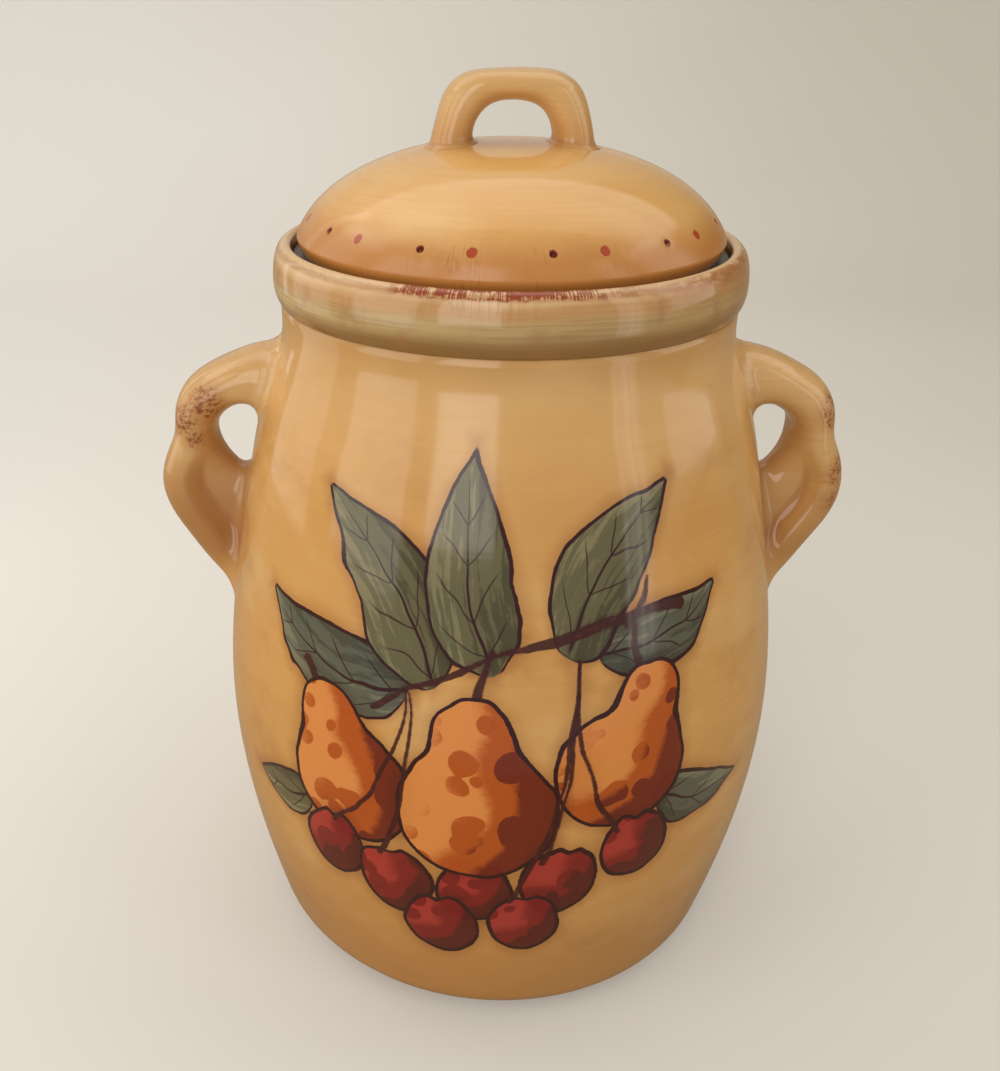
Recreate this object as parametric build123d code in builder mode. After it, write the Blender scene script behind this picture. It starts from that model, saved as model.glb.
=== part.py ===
from build123d import *
from math import atan2, cos, degrees, radians, sin
import os

# A lidded ceramic jar with two ear handles. Its axis is Z, its foot stands on z = 0, the handles
# reach out along X, and -Y is the front. All sizes are in millimetres.

# Wall of the barrel and the dome, the gap between pieces that come apart, and the most that a bar's
# edges are rounded by, as a share of its thickness
clay_wall = 5.6
fit_gap = 0.3
round_share = 0.47

# Barrel: radius of each station outside, and its rise above the station below
foot_height = 3.0
base_radius = 73.0
heel_round = 14.0
heel_lean = 14.0  # degrees that the wall leans out where it leaves the heel
flank_radius = 95.9
flank_rise = 56.0
belly_radius = 98.7
belly_rise = 42.0
waist_radius = 93.0
waist_rise = 47.6
shoulder_radius = 87.4
shoulder_rise = 28.4
yoke_radius = 80.2
yoke_rise = 29.0
neck_radius = 73.2
neck_rise = 25.0
neck_length = 6.6

# Unglazed foot ring under the barrel
foot_ring_inset = 2.0
foot_ring_width = 9.0
foot_edge_round = 1.2

# Collar on top of the neck
collar_height = 17.4
collar_swell = 2.0
collar_swell_rise = 8.6
collar_foot_slope = (0.8, 1)  # direction in which the collar leaves the neck
rim_crest_slope = (-1, 0.15)
rim_width = 6.2
rim_crest_inset = 1.8
lip_drop = 1.6

# Lid: dome, locating flange, gasket
lid_seat_depth = 4.0  # from the rim's crest down to the underside of the dome
dome_edge_thickness = 3.0
dome_edge_bevel = 1.6
dome_edge_slope = (1, 0.3)
dome_gap = 1.2  # between the dome and the mouth
dome_height = 29.7
dome_flank_power = 0.83  # how square the dome's side is
dome_crown_power = 1.23  # how flat its crown is
dome_turns = (0, 14, 28, 42, 56, 70, 80, 90)  # degrees from the edge to the crown
flange_gap = 4.4  # between the flange and the bore, for the gasket
flange_wall = 4.0
flange_depth = 11.0
flange_edge_round = 1.5
gasket_sleeve = 1.2
gasket_depth = 9.5
gasket_lip = 1.5
gasket_rib = 1.0
gasket_rib_count = 2
gasket_rib_pitch = 3.0

# Ring of pricked pits round the dome
pit_count = 11
pit_first_angle = -116.0  # degrees from +X
pit_turn = 22.0  # how far up the dome's curve the pits stand, in degrees
pit_radius = 1.0
pit_depth = 1.2

# Loop handle on top of the lid
loop_rise = 20.8  # above the dome's top
loop_foot_half = 25.4
loop_top_half = 19.4
loop_corner = 11.5
loop_bar = 9.2
loop_foot_leg = 12.4
loop_top_leg = 8.8
loop_hole_corner = 7.5
loop_depth = 19.0
loop_edge_round = 4.4
loop_foot_sink = 6.0  # how far the foot starts below the dome's top

# Ear handles: points of the outline as (reach, rise) from the barrel's shoulder station
ear_depth = 28.0
ear_edge_round = 6.6
ear_bar = 14.4  # thickness of the bar at its waist
ear_top = (-9.4, 43.0)
ear_brow = (10.4, 36.7)
ear_knuckle = (22.5, 26.9)
ear_waist = (25.0, 15.0)
ear_bulge = (31.0, -5.2)
ear_jaw = (23.6, -25.0)
ear_tip = (10.1, -44.5)
ear_root_length = 16.0  # how far the roots run into the barrel before they are trimmed to it
ear_root_drop = 9.6  # how far the lower root drops on its way in
finger_hole_top = (-1.4, 22.8)
finger_hole_low = (3.4, -4.4)
finger_hole_drop = 3.2  # from the bar's waist down to the hole's widest point
finger_hole_root = 10.0
finger_hole_dip = 5.0  # how far the hole's two ends drop on their way in

# Heights up the jar
flank_height = foot_height + flank_rise
belly_height = flank_height + belly_rise
waist_height = belly_height + waist_rise
shoulder_height = waist_height + shoulder_rise
yoke_height = shoulder_height + yoke_rise
neck_height = yoke_height + neck_rise
collar_bottom = neck_height + neck_length
rim_height = collar_bottom + collar_height
lid_underside = rim_height - lid_seat_depth
ledge_height = lid_underside - gasket_lip - fit_gap
dome_edge_height = lid_underside + dome_edge_thickness
dome_top_height = dome_edge_height + dome_height
loop_height = dome_top_height + loop_rise

# Radii across the mouth, from the outside in
collar_radius = neck_radius + collar_swell
mouth_radius = collar_radius - rim_width
rim_crest_radius = mouth_radius + rim_crest_inset
bore_radius = neck_radius - clay_wall
dome_radius = mouth_radius - dome_gap
flange_radius = bore_radius - flange_gap


def dome_point(radius, bottom, top, turn):
    """Point of a dome's outline, at a turn from its edge (0 degrees) to its crown (90)."""
    reach = radius * max(cos(radians(turn)), 0) ** dome_flank_power
    return (reach, bottom + (top - bottom) * sin(radians(turn)) ** dome_crown_power)


def dome_outline(radius, bottom, top):
    return [dome_point(radius, bottom, top, turn) for turn in dome_turns]


def ear_point(place):
    reach, rise = place
    return (shoulder_radius + reach, shoulder_height + rise)


# ---- Barrel ----
# The same outline is turned twice: once for the outside, once drawn in by the wall for the hollow.
heel_centre = (base_radius, foot_height + heel_round)
forms = []
for inset in (0, clay_wall):
    with BuildPart() as form:
        with BuildSketch(Plane.XZ):
            with BuildLine():
                heel = CenterArc(heel_centre, heel_round - inset, -90, 90 - heel_lean)
                wall = Spline(
                    heel @ 1,
                    (flank_radius - inset, flank_height),
                    (belly_radius - inset, belly_height),
                    (waist_radius - inset, waist_height),
                    (shoulder_radius - inset, shoulder_height),
                    (yoke_radius - inset, yoke_height),
                    (neck_radius - inset, neck_height),
                    tangents=(heel % 1, (0, 1)),
                )
                neck = Line(wall @ 1, (neck_radius - inset, collar_bottom))
                Polyline(neck @ 1, (0, collar_bottom), (0, (heel @ 0).Y), heel @ 0)
            make_face()
        revolve(axis=Axis.Z)
    forms.append(form.part)
barrel_form, hollow_form = forms

with BuildPart() as barrel:
    add(barrel_form)
    add(hollow_form, mode=Mode.SUBTRACT)

# ---- Foot ring ----
foot_ring_radius = base_radius - foot_ring_inset

with BuildPart() as foot_ring:
    with BuildSketch(Plane.XZ):
        with Locations((foot_ring_radius - foot_ring_width / 2, foot_height / 2)):
            Rectangle(foot_ring_width, foot_height)
    revolve(axis=Axis.Z)
    fillet(foot_ring.edges().group_by(Axis.Z)[0], foot_edge_round)

# ---- Collar ----
# Its bore carries on from the neck, then steps out to a ledge that the lid's gasket sits over.
with BuildPart() as collar:
    with BuildSketch(Plane.XZ):
        with BuildLine():
            swell = Spline(
                (neck_radius, collar_bottom),
                (collar_radius, collar_bottom + collar_swell_rise),
                (rim_crest_radius, rim_height),
                tangents=(collar_foot_slope, rim_crest_slope),
            )
            lip = Spline(swell @ 1, (mouth_radius, rim_height - lip_drop), tangents=((-1, 0), (0, -1)))
            Polyline(
                lip @ 1,
                (mouth_radius, ledge_height),
                (bore_radius, ledge_height),
                (bore_radius, collar_bottom),
                (neck_radius, collar_bottom),
            )
        make_face()
    revolve(axis=Axis.Z)

# ---- Ear handles ----
# A flat outline with a finger hole, thickened along Y, rounded, and trimmed to the barrel.
waist_inside = (ear_waist[0] - ear_bar, ear_waist[1] - finger_hole_drop)

with BuildPart() as ear:
    with BuildSketch(Plane.XZ):
        with BuildLine():
            back = Spline(
                ear_point((ear_top[0] - ear_root_length, ear_top[1])),
                ear_point(ear_top),
                ear_point(ear_brow),
                ear_point(ear_knuckle),
                ear_point(ear_waist),
                ear_point(ear_bulge),
                ear_point(ear_jaw),
                ear_point(ear_tip),
                ear_point((ear_tip[0] - ear_root_length / 2, ear_tip[1] - ear_root_drop)),
            )
            Polyline(back @ 1, ((back @ 0).X, (back @ 1).Y), back @ 0)
        make_face()
        with BuildLine():
            hole = Spline(
                ear_point((finger_hole_top[0] - finger_hole_root, finger_hole_top[1] - finger_hole_dip)),
                ear_point(finger_hole_top),
                ear_point(waist_inside),
                ear_point(finger_hole_low),
                ear_point((finger_hole_low[0] - finger_hole_root, finger_hole_low[1] - finger_hole_dip)),
            )
            Line(hole @ 1, hole @ 0)
        make_face(mode=Mode.SUBTRACT)
    extrude(amount=ear_depth / 2, both=True)
    curved_edges = ear.faces().filter_by(Axis.Y).edges().filter_by(GeomType.BSPLINE)
    fillet(curved_edges, min(ear_edge_round, round_share * ear_bar, round_share * ear_depth))
    add(barrel_form, mode=Mode.SUBTRACT)

# ---- Lid dome ----
# Each pit is pricked square to the dome's curve, which leans away from upright by pit_lean.
dome_inside_radius = flange_radius - flange_wall
pit_reach, pit_height = dome_point(dome_radius, dome_edge_height, dome_top_height, pit_turn)
above_reach, above_height = dome_point(dome_radius, dome_edge_height, dome_top_height, pit_turn + 1)
pit_lean = degrees(atan2(above_height - pit_height, pit_reach - above_reach))

with BuildPart() as dome:
    with BuildSketch(Plane.XZ):
        with BuildLine():
            skin = Spline(
                *dome_outline(dome_radius, dome_edge_height, dome_top_height),
                tangents=((0, 1), (-1, 0)),
            )
            inside = Spline(
                *dome_outline(dome_inside_radius, lid_underside, dome_top_height - clay_wall),
                tangents=((0, 1), (-1, 0)),
            )
            Line(skin @ 1, inside @ 1)
            underside = Line(inside @ 0, (dome_radius - dome_edge_bevel, lid_underside))
            Spline(underside @ 1, skin @ 0, tangents=(dome_edge_slope, (0, 1)))
        make_face()
    revolve(axis=Axis.Z)
    with Locations((0, 0, pit_height)):
        with PolarLocations(pit_reach, pit_count, start_angle=pit_first_angle):
            Cylinder(pit_radius, 2 * pit_depth, rotation=(0, pit_lean, 0), mode=Mode.SUBTRACT)

# ---- Lid flange ----
with BuildPart() as flange:
    with BuildSketch(Plane.XZ):
        with Locations((flange_radius - flange_wall / 2, lid_underside - flange_depth / 2)):
            Rectangle(flange_wall, flange_depth)
    revolve(axis=Axis.Z)
    fillet(flange.edges().group_by(Axis.Z)[0], flange_edge_round)

# ---- Lid handle ----
# The dome's outside as a full solid trims the feet of the loop.
with BuildPart() as dome_form:
    with BuildSketch(Plane.XZ):
        with BuildLine():
            crown = Spline(
                *dome_outline(dome_radius, dome_edge_height, dome_top_height),
                tangents=((0, 1), (-1, 0)),
            )
            Polyline(crown @ 1, (0, dome_edge_height), crown @ 0)
        make_face()
    revolve(axis=Axis.Z)

foot_level = dome_top_height - loop_foot_sink
bar_underside = loop_height - loop_bar
gap_foot_half = loop_foot_half - loop_foot_leg
gap_top_half = loop_top_half - loop_top_leg

with BuildPart() as loop:
    with BuildSketch(Plane.XZ):
        with BuildLine():
            arch = FilletPolyline(
                (-loop_foot_half, foot_level),
                (-loop_top_half, loop_height),
                (loop_top_half, loop_height),
                (loop_foot_half, foot_level),
                radius=loop_corner,
            )
            Line(arch @ 1, arch @ 0)
        make_face()
        with BuildLine():
            gap = FilletPolyline(
                (-gap_foot_half, foot_level),
                (-gap_top_half, bar_underside),
                (gap_top_half, bar_underside),
                (gap_foot_half, foot_level),
                radius=loop_hole_corner,
            )
            Line(gap @ 1, gap @ 0)
        make_face(mode=Mode.SUBTRACT)
    extrude(amount=loop_depth / 2, both=True)
    arch_edges = loop.faces().filter_by(Axis.Y).edges()
    fillet(arch_edges - arch_edges.group_by(Axis.Z)[0], min(loop_edge_round, round_share * loop_bar))
    add(dome_form.part, mode=Mode.SUBTRACT)

# ---- Lid gasket ----
# A sleeve on the flange with a wide lip under the dome's edge and ribs that brush the bore.
lip_reach = mouth_radius - fit_gap - flange_radius
rib_reach = bore_radius - fit_gap - flange_radius

with BuildPart() as gasket:
    with BuildSketch(Plane.XZ):
        with Locations((flange_radius + gasket_sleeve / 2, lid_underside - gasket_depth / 2)):
            Rectangle(gasket_sleeve, gasket_depth)
        with Locations((flange_radius + lip_reach / 2, lid_underside - gasket_lip / 2)):
            Rectangle(lip_reach, gasket_lip)
        for rib in range(1, gasket_rib_count + 1):
            rib_height = lid_underside - gasket_lip - rib * gasket_rib_pitch
            with Locations((flange_radius + rib_reach / 2, rib_height)):
                Rectangle(rib_reach, gasket_rib)
    revolve(axis=Axis.Z)

# ---- Write the pieces ----
pieces = {
    "jar_barrel": barrel.part,
    "rim_collar": collar.part,
    "foot_ring": foot_ring.part,
    "handle_right": ear.part,
    "handle_left": mirror(ear.part, about=Plane.YZ),
    "lid_dome": dome.part,
    "lid_flange": flange.part,
    "lid_handle": loop.part,
    "lid_seal": gasket.part,
}
os.makedirs("parts", exist_ok=True)
for name, piece in pieces.items():
    piece.label = name
    export_step(piece, f"parts/{name}.step")
    print(name, round(piece.volume / 1000, 1), "cm3")
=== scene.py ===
import bmesh
import bpy
import numpy as np
from math import cos, hypot, pi, radians, sin
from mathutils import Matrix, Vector


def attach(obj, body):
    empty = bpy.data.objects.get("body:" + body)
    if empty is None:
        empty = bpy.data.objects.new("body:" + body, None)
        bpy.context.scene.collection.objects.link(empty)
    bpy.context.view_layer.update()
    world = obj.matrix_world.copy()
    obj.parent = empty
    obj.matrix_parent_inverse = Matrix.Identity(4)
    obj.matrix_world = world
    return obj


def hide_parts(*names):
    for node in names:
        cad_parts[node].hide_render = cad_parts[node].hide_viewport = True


# A lidded ceramic biscuit jar: honey glaze, sage collar, two ear handles, a domed lid with a loop.
# Everything stands in the frame's own place: metres, Z up, -Y the front. Outlines and the sizes of pieces
# are in millimetres.

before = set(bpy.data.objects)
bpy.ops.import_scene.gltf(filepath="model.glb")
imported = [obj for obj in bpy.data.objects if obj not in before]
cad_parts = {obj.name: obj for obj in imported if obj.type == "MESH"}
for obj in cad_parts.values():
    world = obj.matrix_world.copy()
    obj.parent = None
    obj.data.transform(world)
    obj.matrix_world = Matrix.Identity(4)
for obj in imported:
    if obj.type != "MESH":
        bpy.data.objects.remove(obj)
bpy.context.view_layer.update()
mm = 0.001
weldGap = 2e-6  # points closer than this, in metres, are made one


def splineRun(points, spacing, startWay=None, endWay=None, knots=None):
    # A smooth curve through the points, by chord length. A way given for an end is its direction there.
    points = np.array(points, float)
    if knots is None:
        knots = np.concatenate([[0], np.cumsum(np.linalg.norm(np.diff(points, axis=0), axis=1))])
    step = np.diff(knots)
    count = len(points)
    matrix = np.zeros((count, count))
    right = np.zeros_like(points)
    for i in range(1, count - 1):
        matrix[i, i - 1:i + 2] = step[i], 2 * (step[i - 1] + step[i]), step[i - 1]
        right[i] = 3 * (step[i] / step[i - 1] * (points[i] - points[i - 1])
                        + step[i - 1] / step[i] * (points[i + 1] - points[i]))
    for end, near, way, gap in ((0, 1, startWay, 0), (-1, -2, endWay, -1)):
        if way is None:
            matrix[end, end], matrix[end, near] = 2, 1
            right[end] = 3 * (points[near] - points[end]) / step[gap] * (1 if end == 0 else -1)
        else:
            matrix[end, end] = 1
            right[end] = np.array(way, float) / np.linalg.norm(way)
    slopes = np.linalg.solve(matrix, right)
    run = []
    for i in range(count - 1):
        pieces = max(2, int(np.ceil(step[i] / spacing)))
        for t in np.arange(pieces) / pieces:
            run.append((2 * t**3 - 3 * t**2 + 1) * points[i] + (t**3 - 2 * t**2 + t) * step[i] * slopes[i]
                       + (3 * t**2 - 2 * t**3) * points[i + 1] + (t**3 - t**2) * step[i] * slopes[i + 1])
    run.append(points[-1])
    return np.array(run)


def arcRun(centre, radius, start, end, pieces):
    turns = np.radians(np.linspace(start, end, pieces + 1))
    return np.stack([centre[0] + radius * np.cos(turns), centre[1] + radius * np.sin(turns)], 1)


def lineRun(start, end, spacing):
    pieces = max(1, int(round(hypot(end[0] - start[0], end[1] - start[1]) / spacing)))
    return np.linspace(start, end, pieces + 1)


def softCorners(corners, rounds, pieces=4):
    # A closed outline whose corners are rounded off by the given radii, its long sides cut into spans.
    corners = [np.array(c, float) for c in corners]
    run = []
    for i, corner in enumerate(corners):
        before, after = corners[i - 1] - corner, corners[(i + 1) % len(corners)] - corner
        before, after = before / np.linalg.norm(before), after / np.linalg.norm(after)
        reach = rounds[i] / np.tan(np.arccos(np.clip(before @ after, -1, 1)) / 2)
        first, last = corner + before * reach, corner + after * reach
        for t in np.linspace(0, 1, pieces + 1):
            run.append((1 - t)**2 * first + 2 * t * (1 - t) * corner + t**2 * last)
    return np.array(run + run[:1])


def joined(*runs):
    # Runs laid end to end, without the points that repeat.
    points = [runs[0][0]]
    for run in runs:
        for point in run:
            if np.linalg.norm(point - points[-1]) > 1e-4:
                points.append(point)
    return np.array(points)


def newObject(name, data):
    made = bpy.data.objects.new(name, data)
    bpy.context.scene.collection.objects.link(made)
    return made


def meshObject(name, vertices, faces):
    mesh = bpy.data.meshes.new(name)
    mesh.from_pydata([tuple(v) for v in vertices], [], [tuple(f) for f in faces])
    mesh.update()
    return newObject(name, mesh)


def closeUp(made):
    # Welds the seams, turns the faces outwards and shades them smooth.
    shell = bmesh.new()
    shell.from_mesh(made.data)
    bmesh.ops.remove_doubles(shell, verts=shell.verts, dist=weldGap)
    bmesh.ops.dissolve_degenerate(shell, edges=shell.edges, dist=1e-7)
    bmesh.ops.recalc_face_normals(shell, faces=shell.faces)
    shell.to_mesh(made.data)
    shell.free()
    made.data.shade_smooth()
    made.data.update()
    return made


def readPoints(made):
    # A piece's points in millimetres, and the outward way at each.
    where = np.zeros(len(made.data.vertices) * 3)
    made.data.vertices.foreach_get("co", where)
    return where.reshape(-1, 3) / mm, np.array([v.normal for v in made.data.vertices])


def writePoints(made, where):
    made.data.vertices.foreach_set("co", (where * mm).ravel())
    made.data.update()


def gridFaces(rows, columns, closed=False):
    # Quads over points laid out row by row. Closed rows join their last column to the first.
    faces = []
    for i in range(rows - 1):
        for j in range(columns if closed else columns - 1):
            here, beside = i * columns, (j + 1) % columns
            faces.append((here + j, here + beside, here + columns + beside, here + columns + j))
    return faces


# Node trees. The tree at work lies on the bench, and put() adds a node to it.
bench = {}


class Value:
    # A node's output. A sum written with it in ordinary code adds the nodes for it to the tree at work.
    def __init__(self, socket):
        self.socket = socket


def feed(socket, value):
    if isinstance(value, Value):
        bench["tree"].links.new(value.socket, socket)
    else:
        socket.default_value = value


def put(kind, sockets=None, **settings):
    node = bench["tree"].nodes.new(kind)
    for name, value in settings.items():
        setattr(node, name, value)
    for key, value in (sockets or {}).items():
        feed(node.inputs[key], value)
    return node


def got(kind, sockets=None, output=0, **settings):
    # One output of a new node.
    return Value(put(kind, sockets, **settings).outputs[output])


def outputsOf(node):
    return {socket.name: Value(socket) for socket in node.outputs}


def calc(operation, *values):
    return got("ShaderNodeMath", dict(enumerate(values)), operation=operation)


for sign, operation in (("add", "ADD"), ("sub", "SUBTRACT"), ("mul", "MULTIPLY"), ("truediv", "DIVIDE"),
                        ("pow", "POWER")):
    setattr(Value, f"__{sign}__", lambda a, b, operation=operation: calc(operation, a, b))
    setattr(Value, f"__r{sign}__", lambda a, b, operation=operation: calc(operation, b, a))
Value.__neg__ = lambda a: calc("MULTIPLY", a, -1.0)
Value.__abs__ = lambda a: calc("ABSOLUTE", a)


def larger(a, b):
    return calc("MAXIMUM", a, b)


def held(value):
    # Kept between 0 and 1.
    return got("ShaderNodeClamp", {"Value": value})


def lengthOf(a, b):
    return calc("SQRT", a * a + b * b)


def split(point):
    return [Value(socket) for socket in put("ShaderNodeSeparateXYZ", {0: point}).outputs]


def vector(x=0.0, y=0.0, z=0.0):
    return got("ShaderNodeCombineXYZ", {"X": x, "Y": y, "Z": z})


def newTree(name, kind, inputs, outputs):
    # Lays an empty tree on the bench. Its sockets are (name, kind) pairs. Returns its inputs by name.
    tree = bench["tree"] = bpy.data.node_groups.new(name, kind)
    for way, rows in (("INPUT", inputs), ("OUTPUT", outputs)):
        for label, socket in rows:
            tree.interface.new_socket(label, in_out=way, socket_type="NodeSocket" + socket)
    return tree, outputsOf(tree.nodes.new("NodeGroupInput"))


def wheelTree():
    # The potter's wheel: turns an outline of (radius, 0, height) points round Z, a little unevenly.
    tree, given = newTree("turnOnWheel", "GeometryNodeTree", (
        ("Outline", "Geometry"), ("Steps", "Int"), ("Unevenness", "Float"), ("Patch Size", "Float"),
        ("Seed", "Float"), ("Finish", "Material")), (("Turned", "Geometry"),))
    outline, steps = given["Outline"], given["Steps"]
    columns = steps + 1
    count = got("GeometryNodeAttributeDomainSize", {"Geometry": outline}, "Point Count")
    grid = got("GeometryNodeMeshGrid", {"Vertices X": count, "Vertices Y": columns})
    index = got("GeometryNodeInputIndex")
    row = calc("FLOOR", (index + 0.5) / columns)
    turn = calc("MODULO", index, columns) / steps * (2 * pi)
    where = got("GeometryNodeInputPosition")
    radius, _, height = split(got(
        "GeometryNodeSampleIndex", {"Geometry": outline, "Index": row, "Value": where},
        data_type="FLOAT_VECTOR"))
    turned = vector(radius * calc("COSINE", turn), radius * calc("SINE", turn), height)
    shaped = got("GeometryNodeSetPosition", {"Geometry": grid, "Position": turned})
    welded = got("GeometryNodeMergeByDistance", {"Geometry": shaped, "Distance": weldGap})
    patches = got("ShaderNodeTexNoise", {"Scale": 1 / given["Patch Size"], "W": given["Seed"], "Detail": 1.0,
                                         "Vector": where}, noise_dimensions="4D")
    push = got("ShaderNodeVectorMath", {0: got("GeometryNodeInputNormal"),
                                        "Scale": -(patches * given["Unevenness"])}, operation="SCALE")
    uneven = got("GeometryNodeSetPosition", {"Geometry": welded, "Offset": push})
    smooth = got("GeometryNodeSetShadeSmooth", {"Geometry": uneven})
    real = got("GeometryNodeRealizeInstances", {"Geometry": smooth})
    glazed = got("GeometryNodeSetMaterial", {"Geometry": real, "Material": given["Finish"]})
    put("NodeGroupOutput", {"Turned": glazed})
    return tree


wheel = wheelTree()


def turnPiece(name, outline, finish, piece):
    # Throws one piece, by its dictionary. The outline runs down its outside, so that its faces look outwards.
    area = sum(a[0] * b[1] - b[0] * a[1] for a, b in zip(outline, np.roll(outline, -1, axis=0)))
    if area > 0:
        outline = outline[::-1]
    source = meshObject(name + "_outline", [(r * mm, 0, z * mm) for r, z in outline], [])
    modifier = source.modifiers.new("wheel", "NODES")
    modifier.node_group = wheel
    values = {"Steps": piece["steps"], "Unevenness": piece["unevenness"] * mm, "Patch Size": piece["patch"],
              "Seed": piece["seed"], "Finish": finish}
    for item in wheel.interface.items_tree:
        if item.in_out == "INPUT" and item.name in values:
            modifier[item.identifier] = values[item.name]
    bpy.context.view_layer.update()
    ready = source.evaluated_get(bpy.context.evaluated_depsgraph_get())
    mesh = bpy.data.meshes.new_from_object(ready)
    bpy.data.objects.remove(source)
    mesh.name = name
    made = closeUp(newObject(name, mesh))
    mesh.materials.clear()
    mesh.materials.append(finish)
    mesh.polygons.foreach_set("material_index", [0] * len(mesh.polygons))
    return made


def shade(red, green, blue):
    # A screen colour, 0 to 255, as the linear values that the nodes take.
    parts = [c / 255 for c in (red, green, blue)]
    return (*[((c + 0.055) / 1.055) ** 2.4 if c > 10 / 255 else c / 12.92 for c in parts], 1)


def rise(value, low, high):
    # 0 at low, 1 at high, smooth between.
    return got("ShaderNodeMapRange", {"Value": value, "From Min": low, "From Max": high},
               interpolation_type="SMOOTHSTEP")


def blend(share, below, above, way="MIX"):
    return got("ShaderNodeMix", {0: share, 6: below, 7: above}, 2, data_type="RGBA", blend_type=way)


def washed(colour, washes, **masks):
    # Thin coats one over the other, each of its wash's tint, at its strength where its mask is 1.
    for name, mask in masks.items():
        *tint, strength = washes[name]
        colour = blend(mask * strength, colour, shade(*tint))
    return colour


def noise(point, scale=1.0, detail=2.0, roughness=0.5, seed=0.0):
    # Soft patches, 0 to 1 and mostly about 0.5. The scale is in patches to a unit of the point.
    return got("ShaderNodeTexNoise", {"Vector": point, "W": seed, "Scale": scale, "Detail": detail,
                                      "Roughness": roughness}, noise_dimensions="4D")


def stretched(point, across, up):
    # The point with its X and Y, and its Z, in units of their own.
    return got("ShaderNodeVectorMath", {0: point, 1: (across, across, up)}, operation="MULTIPLY")


def turnOf(x, y):
    # The turn round the jar from its front, in radians, positive towards the right-hand ear.
    return calc("ARCTAN2", x, -y)


def newGroup(name, inputs, outputs):
    # An empty shader group. A name with a capital C at its end is a colour, with a V a vector.
    kinds = {"C": "Color", "V": "Vector"}
    return newTree(name, "ShaderNodeTree", *[[(label, kinds.get(label[-1], "Float")) for label in labels]
                                             for labels in (inputs, outputs)])


def useGroup(shape, values):
    return outputsOf(put("ShaderNodeGroup", values, node_tree=shape))


def grainShape():
    # Brush lines left by a wide brush on the turning jar, broad tone bands and soft clouds, each 0 to 1.
    tree, given = newGroup("brushedGrain", ("pointV", "seed"), ("fine", "band", "cloud", "fleck"))
    point, seed = given["pointV"], given["seed"]
    slow = got("ShaderNodeTexNoise", {"Vector": point, "Scale": 11.0, "Detail": 1.0})
    swayed = got("ShaderNodeVectorMath", {0: point, 1: vector(z=slow * 0.005)}, operation="ADD")
    put("NodeGroupOutput", {"fine": noise(stretched(swayed, 26, 980), 1.0, 3.0, 0.65, seed),
                            "band": noise(stretched(swayed, 9, 34), 1.0, 2.0, 0.5, seed + 3),
                            "cloud": noise(point, 24.0, 2.0, 0.5, seed + 7),
                            "fleck": noise(point, 620.0, 2.0, 0.6, seed + 9)})
    return tree


def paintPlace(given):
    # Turns a motif's own place so that its length runs along the first value and its breadth across.
    du, dv = given["u"] - given["centre u"], given["v"] - given["centre v"]
    turn = calc("RADIANS", given["turn"])
    cosine, sine = calc("COSINE", turn), calc("SINE", turn)
    return du * cosine + dv * sine, dv * cosine - du * sine


motifInputs = ("u", "v", "centre u", "centre v", "turn", "slow", "dab", "hair")
motifOutputs = ("fill", "line", "tone", "halo")


def paintEdges(given, edge, tone, extraLine=None, ink=1.0, keep=None):
    # Fill, drawn line, tone and the soft shadow round a motif, from the distance to its edge in mm.
    ragged = given["hair"] * 0.9 + edge - 0.45
    strayed = given["slow"] * 2.2 + edge - 1.15
    pen = (given["slow"] + given["hair"]) * (0.66 * ink) - 0.04 * ink
    line = rise(abs(strayed) - pen, 0.14, -0.1)
    if keep is not None:
        line = line * keep
    if extraLine is not None:
        line = larger(line, extraLine)
    put("NodeGroupOutput", {"fill": rise(ragged, 0.22, -0.22), "line": line, "tone": tone,
                            "halo": rise(given["slow"] * 5.0 + edge, 8.5, 0.5)})


def leafShape():
    tree, given = newGroup("paintedLeaf", motifInputs + ("length", "width", "bend"), motifOutputs)
    along, aside = paintPlace(given)
    share = along / given["length"]
    inLeaf = held(share)
    left = 1.0 - inLeaf
    offset = aside - inLeaf * left * given["bend"]
    away = abs(offset)
    half = inLeaf ** 0.6 * left ** 1.05 * 1.48 * given["width"]
    wavy = (given["slow"] * 0.7 + 0.65) * half
    edge = larger(away - wavy, larger(-along, along - given["length"]))
    # A midrib that thins towards the tip, and side veins that leave it at a slant.
    rib = away - (left * 0.5 + 0.06)
    within = rise(share, 0.0, 0.06) * rise(share, 0.93, 0.84)
    midrib = rise(rib, 0.15, -0.1) * within
    slant = away * -1.25 + along + given["slow"] * 5
    veinGap = 14.0
    beat = abs(calc("FRACT", slant / veinGap) - 0.5)
    vein = rise(beat * veinGap, 0.62, 0.2)
    reach = rise(away / larger(wavy, 0.1), 0.86, 0.55)
    veins = vein * reach * within * 0.85
    side = offset / larger(half, 1.0)
    # Long pulls of the brush, lighter towards one side and the tip.
    pull = vector(along * 0.045, offset * 0.42, given["centre u"])
    streak = noise(pull, 1.0, 3.0, 0.55, given["length"])
    tone = side * 0.16 + inLeaf * 0.14 + streak + given["hair"] * 0.14 - 0.16
    keep = rise(along, 0.0, 1.2) * rise(share, 1.0, 0.985)
    paintEdges(given, edge, tone, larger(midrib, veins), keep=keep)
    return tree


def pearShape():
    # Two circles run together: the belly, and a smaller one at the stem's end.
    tree, given = newGroup("paintedPear", motifInputs + ("belly", "lean"), motifOutputs)
    along, aside = paintPlace(given)
    belly = given["belly"]

    def ring(above, radius):
        return lengthOf(belly * -above + along, aside) - belly * radius

    edge = calc("SMOOTH_MIN", ring(0.0, 1.0), ring(1.18, 0.46), belly * 0.75)
    depth = -edge / belly
    lit = (given["lean"] * aside + along * 0.3) / belly
    paintEdges(given, edge, lit * 0.42 + depth * 0.26 + given["hair"] * 0.10 + given["dab"] * 0.17 + 0.22)
    return tree


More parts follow.
